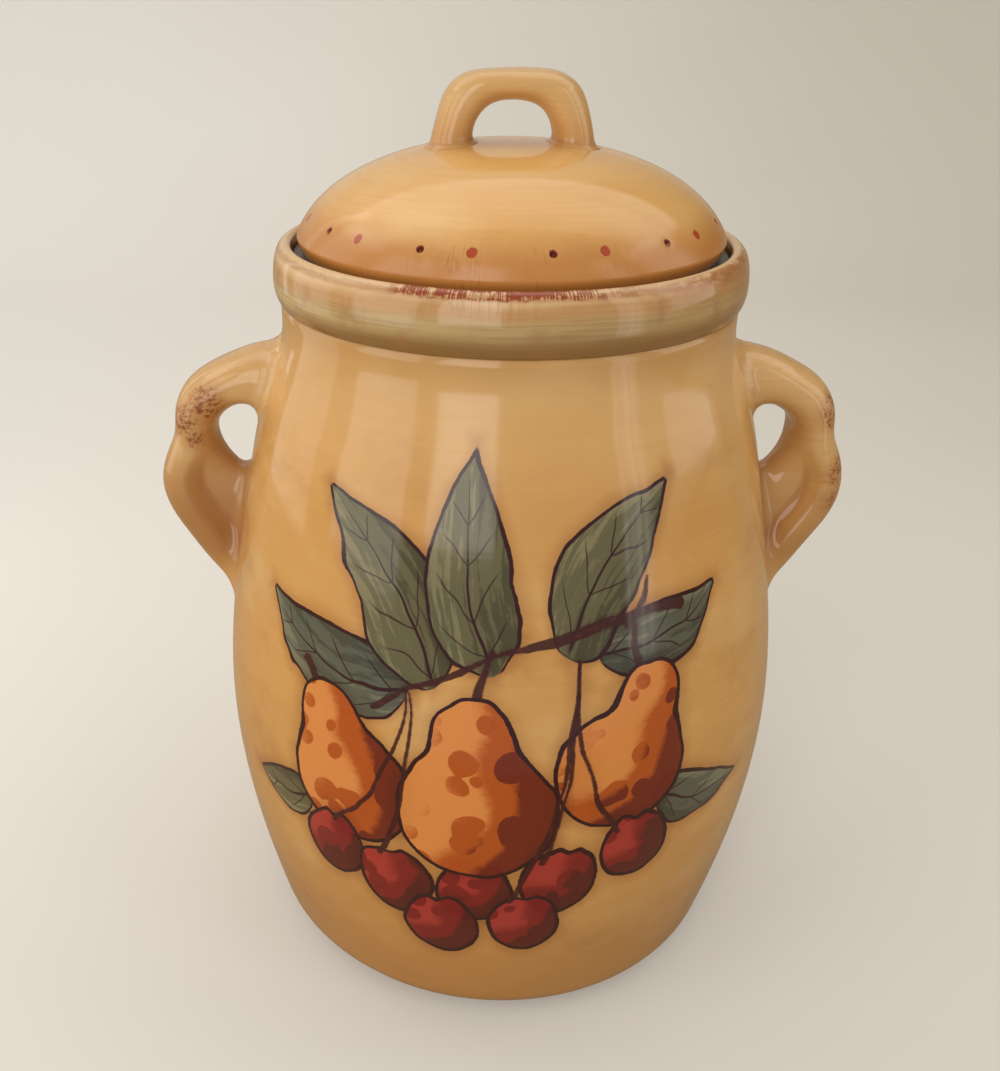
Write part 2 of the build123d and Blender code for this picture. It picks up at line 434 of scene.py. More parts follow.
def cherryShape():
    tree, given = newGroup("paintedCherry", motifInputs + ("radius",), motifOutputs)
    along, aside = paintPlace(given)
    # A little squat, with a dimple at the stalk.
    dimple = rise(abs(aside), 3.6, 0.0) * rise(along, 0.0, 3.0)
    edge = dimple * 1.5 + lengthOf(along * 0.86, aside) - given["radius"]
    lit = (along * 0.75 + aside) / given["radius"]
    depth = -edge / given["radius"]
    paintEdges(given, edge, lit * 0.26 + depth * 0.24 + given["hair"] * 0.10 + given["dab"] * 0.17 + 0.17)
    return tree


def strokeShape():
    # One pull of a loaded brush, thick at its start or its end.
    tree, given = newGroup("paintedStroke", motifInputs + ("length", "start", "end", "bend"), motifOutputs)
    along, aside = paintPlace(given)
    share = held(along / given["length"])
    away = lengthOf(aside - share * (1.0 - share) * given["bend"], along - share * given["length"])
    thick = share ** 1.6 * (given["end"] - given["start"]) + given["start"]
    paintEdges(given, away - thick * (given["slow"] * 1.1 + 0.45), given["hair"], ink=0.01)
    return tree


def coatShape():
    # Lays one motif over what is already painted: its shadow, its three tones, then its line.
    tree, given = newGroup("paintedCoat", ("below C", "dark C", "middle C", "light C", "ink C", "shadow C",
                                           "fill", "line", "tone", "halo", "depth"), ("result C",))
    shadowed = blend(given["halo"] * given["depth"], given["below C"], given["shadow C"], "MULTIPLY")
    body = blend(rise(given["tone"], 0.33, 0.41), given["dark C"], given["middle C"])
    body = blend(rise(given["tone"], 0.54, 0.66), body, given["light C"])
    filled = blend(given["fill"] * 0.96, shadowed, body)
    put("NodeGroupOutput", {"result C": blend(given["line"], filled, given["ink C"])})
    return tree


grain = grainShape()
motifShapes = {"leaf": leafShape(), "pear": pearShape(), "cherry": cherryShape(), "stroke": strokeShape()}
coat = coatShape()

# The fruit painted on the front, from the back of the picture to its front. A row gives the kind (slate is
# a second colour of leaf), the place in mm round the jar and up it, the turn in degrees from the right, and
# the kind's own sizes. Millimetres round the jar are taken at the picture's radius. Colours are dark,
# middle and light.
pictureRadius = 95.0
paintColours = {
    "leaf": ((68, 68, 44), (96, 94, 64), (130, 122, 88)),
    "slate": ((60, 68, 58), (84, 90, 76), (118, 120, 98)),
    "pear": ((112, 26, 2), (180, 80, 14), (222, 140, 70)),
    "cherry": ((84, 0, 6), (126, 6, 14), (170, 46, 42)),
    "stroke": ((48, 8, 8), (62, 14, 12), (80, 28, 18))}
ink = shade(48, 2, 8)
paintShadow = shade(176, 128, 74)
motifSizes = {"leaf": ("length", "width", "bend"), "pear": ("belly", "lean"), "cherry": ("radius",),
              "stroke": ("length", "start", "end", "bend")}
picture = (
    ("leaf", -66, 92, 190, 30, 17, 14),
    ("slate", 44, 104, -16, 40, 18, -18),
    ("slate", -32, 140, 164, 60, 27, 28),
    ("slate", 24, 154, 14, 48, 22, -20),
    ("leaf", -24, 143, 130, 68, 30, -22),
    ("leaf", 14, 153, 52, 60, 27, 24),
    ("leaf", -8, 147, 96, 66, 28, 18),
    ("stroke", -44, 133, 17, 102, 0.8, 2.3, 34),
    ("stroke", 34, 160, 62, 15, 1.6, 0.6, -5),
    ("stroke", -61, 124, 118, 17, 1.4, 2.0, -5),
    ("stroke", 43, 139, 108, 21, 1.5, 1.2, 8),
    ("stroke", -11, 134, 82, 20, 1.4, 1.1, 6),
    ("pear", -51, 103, 112, 21, 0.8),
    ("pear", 33, 115, 70, 21, 0.9),
    ("cherry", -58, 76, 84, 11),
    ("cherry", -11, 70, 88, 11.5),
    ("cherry", 39, 84, 96, 11),
    ("pear", -11, 101, 93, 24, 1.0),
    ("cherry", -36, 69, 95, 12),
    ("cherry", 15, 74, 80, 12),
    ("cherry", -22, 52, 90, 11.5),
    ("cherry", 5, 55, 90, 11.5),
    ("stroke", -32, 139, 262, 60, 0.5, 0.9, 12),
    ("stroke", -33, 139, 246, 58, 0.5, 0.9, 20),
    ("stroke", 18, 152, 263, 69, 0.5, 0.9, 12),
    ("stroke", 18, 152, 283, 62, 0.5, 0.9, -16),
    ("stroke", 18, 152, 258, 88, 0.5, 0.9, 20))


def paintPicture(point, below):
    # The picture over the glaze colour, in mm round the jar from its front and up from the table.
    x, y, z = split(point)
    slow = noise(point, 46.0, 1.0, 0.5, 4.0)
    sway = noise(point, 70.0, 1.0, 0.5, 14.0)
    hair = noise(stretched(point, 300, 620), 1.0, 3.0, 0.65, 34.0)
    u = slow * 5.0 + turnOf(x, y) * pictureRadius - 2.5
    v = sway * 5.0 + z * (1 / mm) - 4.0
    # Round dabs of different sizes: 0 inside one, 1 outside.
    cells = outputsOf(put("ShaderNodeTexVoronoi", {"Vector": vector(u, v), "Scale": 0.085, "Smoothness": 0.3},
                          voronoi_dimensions="2D", feature="SMOOTH_F1"))
    chance = got("ShaderNodeSeparateColor", {"Color": cells["Color"]})
    dab = rise(cells["Distance"] - (hair * 0.12 + chance * 0.34), 0.04, 0.13)
    painted = below
    for colour, across, up, turn, *sizes in picture:
        kind = "leaf" if colour == "slate" else colour
        values = {"u": u, "v": v, "centre u": across, "centre v": up, "turn": turn, "slow": sway, "dab": dab,
                  "hair": hair, **dict(zip(motifSizes[kind], sizes))}
        made = useGroup(motifShapes[kind], values)
        dark, middle, light = [shade(*tint) for tint in paintColours[colour]]
        painted = useGroup(coat, {
            "below C": painted, "dark C": dark, "middle C": middle, "light C": light, "ink C": ink,
            "shadow C": paintShadow, "fill": made["fill"], "line": made["line"], "tone": made["tone"],
            "halo": made["halo"], "depth": 0.16 if kind == "stroke" else 0.5})["result C"]
    return painted


def newFinish(name):
    # A new material, with its tree on the bench. Returns it with its shader and the place in metres.
    material = bpy.data.materials.new(name)
    material.use_nodes = True
    bench["tree"] = material.node_tree
    return material, material.node_tree.nodes["Principled BSDF"], got("ShaderNodeTexCoord", output="Object")


def glazeBase(point, look, seed):
    # Brushed glaze colour, and its fine, band, cloud and fleck values.
    marks = useGroup(grain, {"pointV": point, "seed": seed})
    deep, base, pale, line = [shade(*look[part]) for part in ("deep", "base", "pale", "line")]
    colour = blend(rise(marks["band"], 0.25, 0.75), deep, base)
    colour = blend(rise(marks["cloud"], 0.5, 0.72) * look["paleShare"], colour, pale)
    return blend(rise(marks["fine"], 0.58, 0.34) * look["lineShare"], colour, line), marks


def bumpFrom(shader, height):
    feed(shader.inputs["Normal"], got("ShaderNodeBump", {"Strength": 1.0, "Distance": mm, "Height": height}))


def glazeSurface(shader, colour, marks, look, rough=None):
    # Clear gloss over the colour: a little orange peel, brush ridges, and duller clouds.
    feed(shader.inputs["Base Color"], colour)
    dull = marks["cloud"] * look["dull"] + look["gloss"]
    if rough is not None:
        dull = rough * 0.35 + dull
    feed(shader.inputs["Roughness"], dull)
    bumpFrom(shader, marks["cloud"] * look["peel"] + marks["fine"] * look["ridge"])
    feed(shader.inputs["IOR"], 1.52)


# The glazes. Gloss is the roughness, dull what clouds add to it, peel and ridge the bump's height in mm.
honey = {"base": (214, 161, 92), "deep": (204, 149, 80), "pale": (224, 178, 114),
         "line": (190, 134, 70), "paleShare": 0.5, "lineShare": 0.16,
         "gloss": 0.06, "dull": 0.09, "peel": 0.07, "ridge": 0.010}
tan = {**honey, "base": (216, 174, 116), "deep": (204, 156, 94), "pale": (228, 192, 140),
       "line": (184, 136, 78), "lineShare": 0.16, "ridge": 0.006}
orange = {**honey, "base": (228, 182, 116), "deep": (220, 168, 98), "pale": (236, 196, 136),
          "line": (202, 142, 74), "lineShare": 0.2}
sage = {**honey, "base": (194, 168, 116), "deep": (174, 138, 86), "pale": (216, 194, 146),
        "line": (140, 102, 56), "lineShare": 0.4, "paleShare": 0.6}
cream = {**honey, "base": (224, 204, 164), "deep": (212, 188, 146), "pale": (234, 218, 184),
         "line": (190, 160, 112), "lineShare": 0.3}


# A wash is its screen colour and its strength. In the finishes, heights and radii are in metres, and turns
# in radians.
# neck and heel are painted shade: under the collar, and towards the foot.
bodyWash = {"haze": (224, 182, 122, 0.38), "smudge": (180, 124, 64, 0.42),
            "upper": (218, 178, 122, 0.38), "neck": (160, 112, 56, 0.55),
            "heel": (176, 120, 60, 0.6)}


def bodyFinish():
    material, shader, point = newFinish("bodyGlaze")
    colour, marks = glazeBase(point, honey, 1.0)
    height = split(point)[2]
    # Soft smudges of paler and browner glaze, and a paler neck. Painted shade: darker just under the collar,
    # streaked along the brush lines, and darker towards the heel.
    smudge = noise(stretched(point, 26, 38), 1.0, 4.0, 0.62, 41.0)
    haze = noise(stretched(point, 19, 30), 1.0, 3.0, 0.6, 47.0)
    neck = rise(height, 0.224, 0.2376) * (marks["fine"] * 0.9 + 0.1)
    colour = washed(colour, bodyWash, haze=rise(haze, 0.5, 0.68), smudge=rise(smudge, 0.52, 0.68),
                    upper=rise(height, 0.175, 0.228), neck=neck, heel=rise(height, 0.085, 0.006))
    glazeSurface(shader, paintPicture(point, colour), marks, honey)
    return material


def creases():
    # 1 where the surface folds inwards: the glaze pools there, and the darker coat there is also painted
    #                                    shade.
    return rise(got("ShaderNodeNewGeometry", output="Pointiness"), 0.497, 0.47)


def rubbed(point, centre, radius, soft):
    # 1 at a place in mm, fading out over the soft width beyond its radius.
    away = got("ShaderNodeVectorMath", {0: point, 1: tuple(c * mm for c in centre)}, "Value",
               operation="DISTANCE")
    return rise(away, (radius + soft) * mm, radius * mm)


# Where the ears are rubbed, in mm: place, radius and soft width.
earRubs = (((-107, -11, 197), 3, 7), ((-99, -13, 203), 3, 8), ((-104, -13, 191), 1, 6),
           ((109, -10, 200), 4, 6), ((113, -8, 178), 4, 6), ((112, -9, 168), 2, 7))
# low and left are painted shade on the ears' lower parts.
earWash = {"wear": (172, 110, 56, 0.5), "spots": (122, 50, 0, 0.9),
           "low": (178, 124, 68, 0.8), "left": (158, 102, 50, 0.5),
           "foot": (208, 154, 86, 1.0), "crease": (166, 108, 54, 0.6)}


def earFinish():
    material, shader, point = newFinish("earGlaze")
    colour, marks = glazeBase(point, tan, 5.0)
    wear = rubbed(point, *earRubs[0])
    for rub in earRubs[1:]:
        wear = larger(wear, rubbed(point, *rub))
    scratch = noise(stretched(point, 520, 700), 1.0, 4.0, 0.85, 3.0)
    spots = rise(wear * 0.14 + scratch, 0.6, 0.72) * wear
    x, y, z = split(point)
    # Painted shade: the lower part of each ear is darker, the left ear's more so, fading out towards the
    # foot, into the body's glaze.
    thin = rise(z, 0.128, 0.152)
    left = rise(x, 0.02, -0.02) * rise(z, 0.195, 0.165)
    colour = washed(colour, earWash, wear=wear, spots=spots, low=rise(z, 0.185, 0.145) * thin,
                    left=left * thin, foot=1.0 - thin, crease=creases())
    glazeSurface(shader, colour, marks, tan, spots * 0.5)
    return material


def ringOfDots(turn, z, phase, radius, height, size, jitter):
    # 1 inside the dots of a ring round the lid. Lengths are in mm, and the dots are wider than high.
    turn = turn + (radians(-phase) + 2 * pi)
    pitch = 2 * pi / dome["pits"]
    around = (calc("FLOORED_MODULO", turn + pitch / 2, pitch) - pitch / 2) * (radius * mm)
    up = (z - height * mm) * 1.25
    return rise(jitter * (0.9 * mm) + lengthOf(around, up), (size + 0.6) * mm, (size + 0.3) * mm)


lidWash = {"lower": (186, 120, 56, 0.85), "pulled": (160, 82, 34, 0.8),
           "edge": (184, 116, 58, 0.6), "pit": (108, 24, 0, 1.0),
           "dot": (164, 48, 26, 0.88)}


def lidFinish():
    material, shader, point = newFinish("lidGlaze")
    colour, marks = glazeBase(point, orange, 3.0)
    x, y, z = split(point)
    turn = turnOf(x, y)
    # Short strokes of a darker wash, pulled up from the edge, thickest at the front.
    strokes = noise(vector(turn * 105.0, z * 210.0), 1.0, 4.0, 0.75, 2.0)
    patch = noise(point, 75.0, 2.0, 0.6, 8.0)
    low = rise(z, 0.270, 0.258) * rise(patch, 0.42, 0.62)
    pulled = rise(strokes, 0.48, 0.66) * low * rise(abs(turn + 0.05), 1.0, 0.1)
    lower = rise(patch * 0.006 + z, 0.2735, 0.262)
    edge = rise(patch * 0.005 + z, 0.2585, 0.2545)
    wobble = marks["fleck"] - 0.5
    pit = ringOfDots(turn, z, dome["firstPit"] + 90, *domePoint(dome["pitTurn"]), dome["pitMark"], wobble)
    dot = ringOfDots(turn, z, dome["firstDot"], dome["dotReach"], dome["dotLevel"], dome["dotRadius"], wobble)
    colour = washed(colour, lidWash, lower=lower, pulled=pulled, edge=edge, pit=pit, dot=dot)
    glazeSurface(shader, colour, marks, orange, larger(pit, lower * 0.3))
    return material


loopWash = {"legs": (188, 132, 72, 0.6), "crease": (160, 104, 52, 0.5)}


def loopFinish():
    material, shader, point = newFinish("loopGlaze")
    colour, marks = glazeBase(point, tan, 7.0)
    # Painted shade: darker on the lower legs, and in the folds, where the glaze also pools.
    colour = washed(colour, loopWash, legs=rise(split(point)[2], 0.297, 0.283), crease=creases())
    glazeSurface(shader, colour, marks, tan)
    return material


collarWash = {"pale": (196, 142, 86, 0.7), "umber": (136, 96, 48, 0.85),
              "side": (160, 108, 58, 0.55), "patches": (158, 110, 62, 0.5),
              "speckle": (172, 118, 72, 0.5), "brown": (166, 100, 52, 0.75),
              "under": (166, 112, 66, 0.5), "pulled": (168, 100, 58, 0.9),
              "rust": (140, 46, 4, 0.92)}
lipTint = shade(220, 184, 136)


def collarFinish():
    material, shader, point = newFinish("collarGlaze")
    colour, marks = glazeBase(point, sage, 9.0)
    x, y, z = split(point)
    height = (marks["band"] + marks["cloud"] - 1.0) * 0.006 + z
    # Browner and darker towards the right-hand side, and this fades out before the seam at the back.
    turn = turnOf(x, y)
    behind = rise(abs(turn), 3.0, 2.3)
    side = rise(turn, 0.35, 1.1) * behind * rise(marks["cloud"], 0.3, 0.6)
    smear = noise(vector(turn * 7.0, z * 60.0), 1.0, 3.0, 0.6, 36.0)
    # Painted shade over an umber wash: darker towards the base, where the collar meets the neck.
    colour = washed(colour, collarWash, pale=rise(height, 0.2455, 0.2500), umber=rise(height, 0.2450, 0.2390),
                    side=side, patches=rise(smear, 0.5, 0.72) * behind)
    # A pale, speckled lip.
    lip = washed(lipTint, collarWash, speckle=rise(marks["fleck"], 0.6, 0.72))
    colour = blend(rise(height, 0.2505, 0.2535) * 0.9, colour, lip)
    # Rubbed rust marks along the front of the crest, hatched, and a thin wash pulled down below them.
    hatch = noise(vector(turn * 120.0, z * 90.0), 1.0, 3.0, 0.75, 6.0)
    broken = noise(point, 260.0, 2.0, 0.6, 16.0)
    reach = lengthOf(x, y)
    front = rise(turn, -0.56, -0.46) * rise(turn, 0.62, 0.1)
    crest = rise(reach, 0.0703, 0.0709) * rise(broken * 0.0026 + z, 0.2539, 0.2546)
    gaps = noise(stretched(point, 190, 520), 1.0, 3.0, 0.7, 26.0)
    wear = rise(hatch * 0.55 + gaps * 0.55, 0.49, 0.55) * crest * front
    rightSide = rise(turn, 0.3, 0.8) * behind * rise(reach, 0.0712, 0.0722)
    brown = rise(gaps, 0.34, 0.54) * rightSide * rise(z, 0.2500, 0.2530)
    # A thin brown line just under the crest.
    rim = broken * 0.0012 + z
    under = rise(rim, 0.2526, 0.2536) * rise(rim, 0.2551, 0.2543) * rise(reach, 0.0712, 0.0718)
    pulled = rise(abs(turn + 0.12), 0.34, 0.05) * rise(z, 0.2440, 0.2525)
    colour = washed(colour, collarWash, brown=brown, under=under,
                    pulled=rise(hatch, 0.46, 0.66) * pulled * broken, rust=wear)
    glazeSurface(shader, colour, marks, sage, wear * 0.25)
    return material


def insideFinish():
    material, shader, point = newFinish("insideGlaze")
    colour, marks = glazeBase(point, cream, 13.0)
    glazeSurface(shader, colour, marks, cream)
    return material


def clayFinish():
    material, shader, point = newFinish("bareClay")
    marks = useGroup(grain, {"pointV": point, "seed": 17.0})
    colour = blend(rise(marks["cloud"], 0.35, 0.65), shade(196, 178, 150), shade(214, 200, 176))
    colour = washed(colour, {"grit": (150, 122, 92, 0.5)}, grit=rise(marks["fleck"], 0.6, 0.75))
    feed(shader.inputs["Base Color"], colour)
    feed(shader.inputs["Roughness"], marks["fleck"] * 0.2 + 0.72)
    bumpFrom(shader, marks["fleck"] * 0.12)
    return material


def rubberFinish():
    # Smoky grey silicone.
    material, shader, point = newFinish("sealRubber")
    marks = useGroup(grain, {"pointV": point, "seed": 21.0})
    feed(shader.inputs["Base Color"], blend(marks["cloud"], shade(84, 87, 82), shade(112, 114, 106)))
    feed(shader.inputs["Roughness"], marks["fleck"] * 0.25 + 0.3)
    bumpFrom(shader, marks["cloud"] * 0.08)
    return material


def sweepFinish():
    material, shader, point = newFinish("sweepPaint")
    x, y, z = split(point)
    seen = got("ShaderNodeLightPath", output="Is Camera Ray")
    # Painted shade: the backdrop darkens from left to right, as though lit from the left, and the wall that
    # only the jar sees darkens more.
    across = noise(point, 3.0, 2.0, 0.5, 1.0) * 0.3 + x
    pale = blend(rise(across, -0.6, 1.0), shade(224, 221, 215), shade(190, 183, 168))
    # Away from the camera's eye the table is darker than the wall, as a cloth under the jar would be.
    wall = blend(rise(x, 0.1, 1.2), shade(226, 222, 215), shade(112, 102, 86))
    unseen = blend(rise(z, 0.02, 0.5), shade(168, 152, 128), wall)
    feed(shader.inputs["Base Color"], blend(seen, unseen, pale))
    feed(shader.inputs["Emission Color"], blend(seen, (0, 0, 0, 1), (1.0, 0.99, 0.98, 1)))
    feed(shader.inputs["Emission Strength"], 0.1)
    feed(shader.inputs["Roughness"], 0.9)
    return material


# The lid's dome, with its rings of pits and dots. The pits' turn up its side is in degrees from its edge.
dome = {"radius": 67.8, "bottom": 254.0, "top": 283.7, "flank": 0.83, "crown": 1.23,
        "hollow": 59.2, "under": 251.0, "inside": 278.1, "unevenness": 0.25,
        "edge": ((64.6, 251.0), (65.9, 252.6), (66.7, 254.6)), "patch": 38, "seed": 11,
        "pits": 11, "firstPit": -116.0, "pitTurn": 22.0, "pitRadius": 1.05, "pitDepth": 1.15, "pitMark": 0.75,
        "firstDot": -12.8, "dotReach": 63.3, "dotLevel": 263.0, "dotRadius": 1.05}


def domePoint(turn, radius=dome["radius"], bottom=dome["bottom"], top=dome["top"]):
    # Radius and height at a turn up the side, in degrees.
    reach = radius * max(cos(radians(turn)), 0) ** dome["flank"]
    return reach, bottom + (top - bottom) * sin(radians(turn)) ** dome["crown"]


def domeRun(turns, *sizes):
    return np.array([domePoint(turn, *sizes) for turn in turns])


bodyGlaze, earGlaze, collarGlaze = bodyFinish(), earFinish(), collarFinish()
lidGlaze, loopGlaze = lidFinish(), loopFinish()
insideGlaze, bareClay, sealRubber = insideFinish(), clayFinish(), rubberFinish()
print("glazes")

# The barrel: radius and height of each station outside, as the jar is thrown. For each turned piece, steps
# go round it, and the surface is uneven by so many mm in patches of so many metres.
barrel = {"stations": ((95.9, 59.0), (98.7, 101.0), (93.0, 148.6), (87.4, 177.0), (80.2, 206.0),
                       (73.2, 231.0)),
          "base": 73.0, "bottom": 3.0, "heel": 14.0, "heelPieces": 12, "lean": 14.0, "top": 237.6,
          "wall": 5.6, "steps": 288, "unevenness": 0.25, "patch": 0.055, "seed": 3.0}


def wallRun(inset, spacing):
    # The barrel's wall from the heel up to the top, drawn in by the inset.
    centre = (barrel["base"], barrel["bottom"] + barrel["heel"])
    heel = arcRun(centre, barrel["heel"] - inset, -90, -barrel["lean"], barrel["heelPieces"])
    way = (sin(radians(barrel["lean"])), cos(radians(barrel["lean"])))
    stations = [(r - inset, z) for r, z in barrel["stations"]]
    side = splineRun([heel[-1]] + stations, spacing, way, (0, 1))
    neck = lineRun(side[-1], (side[-1][0], barrel["top"]), spacing)
    return joined(heel, side, neck)


outside = wallRun(0, 3.0)
inside = wallRun(barrel["wall"], 4.0)
barrelOutline = joined(lineRun((0, outside[0][1]), outside[0], 7), outside,
                       inside[::-1], lineRun(inside[0], (0, inside[0][1]), 7))
jarBarrel = turnPiece("clay_barrel", barrelOutline, bodyGlaze, barrel)


def barrelRadius(height):
    # Outside radius of the barrel at a height, in millimetres.
    wall = outside[barrel["heelPieces"]:]
    return np.interp(height, wall[:, 1], wall[:, 0])


jarBarrel.data.materials.append(insideGlaze)
for face in jarBarrel.data.polygons:
    x, y, z = face.center / mm
    # The glaze inside begins on the hollow's faces, half a wall in from the outside.
    halfWall = barrel["wall"] / 2
    isInside = z > barrel["bottom"] + halfWall and hypot(x, y) < barrelRadius(z) - halfWall
    face.material_index = 1 if isInside else 0
print("barrel", len(jarBarrel.data.polygons))

# Foot ring, lid flange and gasket: the corners of the outline, and how far each is rounded off.
foot = {"corners": ((71, 3), (71, 0), (62, 0), (62, 3)), "rounds": (0.05, 1.2, 1.2, 0.05),
        "steps": 200, "unevenness": 0.12, "patch": 0.012, "seed": 5.0}
flange = {**foot, "corners": ((63.2, 251), (63.2, 240), (59.2, 240), (59.2, 251)),
          "rounds": (0.05, 1.5, 1.5, 0.05), "seed": 6.0}
gasket = {"corners": ((63.2, 251), (68.65, 251), (68.65, 249.5), (64.4, 249.5), (64.4, 247), (67.3, 247),
                      (67.3, 246), (64.4, 246), (64.4, 244), (67.3, 244), (67.3, 243), (64.4, 243),
                      (64.4, 241.5), (63.2, 241.5)),
          "rounds": (0.05, 0.6, 0.6, 0.5, 0.5, 0.45, 0.45, 0.5, 0.5, 0.45, 0.45, 0.3, 0.3, 0.05),
          "steps": 240, "unevenness": 0.05, "patch": 0.02, "seed": 7.0}
footRing = turnPiece("clay_foot", softCorners(foot["corners"], foot["rounds"]), bareClay, foot)

# The collar swells from its base to the crest, and steps in from the mouth to the bore at the ledge.
collar = {"base": 73.45, "bottom": 236.9, "belly": (75.2, 246.2), "crest": (70.8, 255.0), "mouth": 69.0,
          "lip": 253.4, "ledge": 249.2, "round": 0.7, "bore": 67.6,
          "steps": 288, "unevenness": 0.3, "patch": 0.03, "seed": 8.0}


def collarOutline():
    mouth, bore, ledge, corner = collar["mouth"], collar["bore"], collar["ledge"], collar["round"]
    base, under = (collar["base"], collar["bottom"]), (bore, collar["bottom"])
    swell = splineRun([base, collar["belly"], collar["crest"]], 0.9, (0.7, 1), (-1, 0.15))
    lip = splineRun([collar["crest"], (mouth, collar["lip"])], 0.3, (-1, 0), (0, -1))
    step = joined(arcRun((mouth - corner, ledge + corner), corner, 0, -90, 4),
                  arcRun((bore + corner, ledge - corner), corner, 90, 180, 4))
    return joined(swell, lip, lineRun(lip[-1], step[0], 1), step, lineRun(step[-1], under, 2.5),
                  lineRun(under, base, 2.5))


rimCollar = turnPiece("clay_collar", collarOutline(), collarGlaze, collar)
print("collar", len(rimCollar.data.polygons))
lidFlange = turnPiece("clay_flange", softCorners(flange["corners"], flange["rounds"]), bareClay, flange)
lidSeal = turnPiece("soft_gasket", softCorners(gasket["corners"], gasket["rounds"]), sealRubber, gasket)
print("flange and gasket")


def softNoise(points, seed, size):
    # A smooth uneven value from 0 to 1 for each point, made of a few sine waves.
    draw = np.random.default_rng(seed)
    total, waves = np.zeros(len(points)), 9
    for i in range(waves):
        way = draw.normal(size=3)
        total += np.sin(points @ (way / np.linalg.norm(way)) * 2 * pi / (size * draw.uniform(0.6, 1.8))
                        + draw.uniform(0, 2 * pi))
    return 0.5 + 0.5 * np.clip(total / 5, -1, 1)


def buildDome():
    turns = np.concatenate([np.linspace(8, 15, 9), np.linspace(15, 29, 54)[1:], np.linspace(29, 90, 44)[1:]])
    skin = domeRun(turns)
    hollow = domeRun(np.linspace(0, 90, 32), dome["hollow"], dome["under"], dome["inside"])
    edge = splineRun([*dome["edge"], skin[0]], 0.5, (1, 0.3), (0, 1))
    outline = joined(hollow[::-1], lineRun(hollow[0], dome["edge"][0], 1.2), edge, skin)
    # Columns stand close together within so many degrees of the middle of a pit.
    columns, near = [], 1.9
    pitch = 360 / dome["pits"]
    for i in range(dome["pits"]):
        middle = dome["firstPit"] + i * pitch
        columns += list(middle + np.linspace(-near, near, 17))
        columns += list(middle + np.linspace(near, pitch - near, 16)[1:-1])
    columns = np.radians(np.array(columns))
    radius, height = outline[:, 0][:, None], outline[:, 1][:, None]
    points = np.stack([radius * np.cos(columns), radius * np.sin(columns),
                       height * np.ones_like(columns)], 2).reshape(-1, 3)
    made = meshObject("clay_dome", points * mm, gridFaces(len(outline), len(columns), closed=True))
    closeUp(made)
    # Pricked pits, pushed in along the surface, and a slight unevenness.
    where, ways = readPoints(made)
    depth = dome["unevenness"] * softNoise(where, dome["seed"], dome["patch"])
    reach, level = domePoint(dome["pitTurn"])
    for i in range(dome["pits"]):
        turn = radians(dome["firstPit"] + i * pitch)
        away = np.linalg.norm(where - (reach * cos(turn), reach * sin(turn), level), axis=1)
        share = np.clip(away / dome["pitRadius"], 0, 1)
        pit = dome["pitDepth"] * (1 - share**2.6) + 0.12 * np.exp(-(away / 2.0)**2)
        depth += np.where(away < 6, pit, 0)
    writePoints(made, where - ways * depth[:, None])
    return made


lidDome = buildDome()
lidDome.data.materials.append(lidGlaze)
lidDome.data.materials.append(insideGlaze)
# The hollow is glazed plain, like the jar's inside, from halfway through the wall.
halfway = [(dome[a] + dome[b]) / 2
           for a, b in (("radius", "hollow"), ("bottom", "under"), ("top", "inside"))]
heart = domeRun(np.linspace(90, 0, 91), *halfway)
for face in lidDome.data.polygons:
    x, y, z = face.center / mm
    isInside = hypot(x, y) < halfway[0] and z < np.interp(hypot(x, y), heart[:, 0], heart[:, 1])
    face.material_index = 1 if isInside else 0
print("dome", len(lidDome.data.polygons))


def barLoft(rails, bar):
    # A bar laid through pairs of rail points (outer X, Z, inner X, Z). Returns its points, row by row.
    # A dish makes the bar shallower from a limb's breadth inside its outer rail, over the easing.
    limb, easing = 9.5, 7.5
    rails = np.array(rails, float)
    middle = (rails[:, :2] + rails[:, 2:]) / 2
    knots = np.concatenate([[0], np.cumsum(np.linalg.norm(np.diff(middle, axis=0), axis=1))])
    sizes = [np.broadcast_to(bar[size], len(rails)) for size in ("half", "square", "dish")]
    run = splineRun(np.column_stack([rails, *sizes]), bar["spacing"], knots=knots)
    phase = np.linspace(0, 2 * pi, bar["around"], endpoint=False)
    rows = []
    for outX, outZ, inX, inZ, half, power, dish in run:
        across = np.sign(np.cos(phase)) * np.abs(np.cos(phase)) ** (2 / power)
        deep = np.sign(np.sin(phase)) * np.abs(np.sin(phase)) ** (2 / power)
        share = (across + 1) / 2
        far = np.clip(((1 - share) * hypot(outX - inX, outZ - inZ) - limb) / easing, 0, 1)
        deep = deep * (half - dish * far * far * (3 - 2 * far))
        rows.append(np.stack([inX + (outX - inX) * share, deep, inZ + (outZ - inZ) * share], 1))
    return np.array(rows)


def barMesh(name, rows, finish):
    # Closes a loft with an end cap at each end.
    count, around = rows.shape[:2]
    points = list(rows.reshape(-1, 3)) + [rows[0].mean(0), rows[-1].mean(0)]
    faces = gridFaces(count, around, closed=True)
    for j in range(around):
        k = (j + 1) % around
        faces.append((j, k, count * around))
        faces.append(((count - 1) * around + k, (count - 1) * around + j, count * around + 1))
    made = meshObject(name, np.array(points) * mm, faces)
    made.data.materials.append(finish)
    return closeUp(made)


def weldFoot(made, clearance, way, spread):
    # Flares the bar where it meets the wall, as clay smoothed into a fillet.
    # clearance gives each point's height above the wall, way the wall's outward direction there.
    where, ways = readPoints(made)
    outward = way(where)
    low = np.clip(clearance(where), 0, spread)
    flare = spread - np.sqrt(np.maximum(spread**2 - (spread - low)**2, 0))
    aside = ways - outward * np.sum(ways * outward, axis=1)[:, None]
    size = np.linalg.norm(aside, axis=1)[:, None]
    aside = np.where(size > 0.25, aside / np.maximum(size, 1e-6), aside * 4)
    writePoints(made, where + aside * flare[:, None])


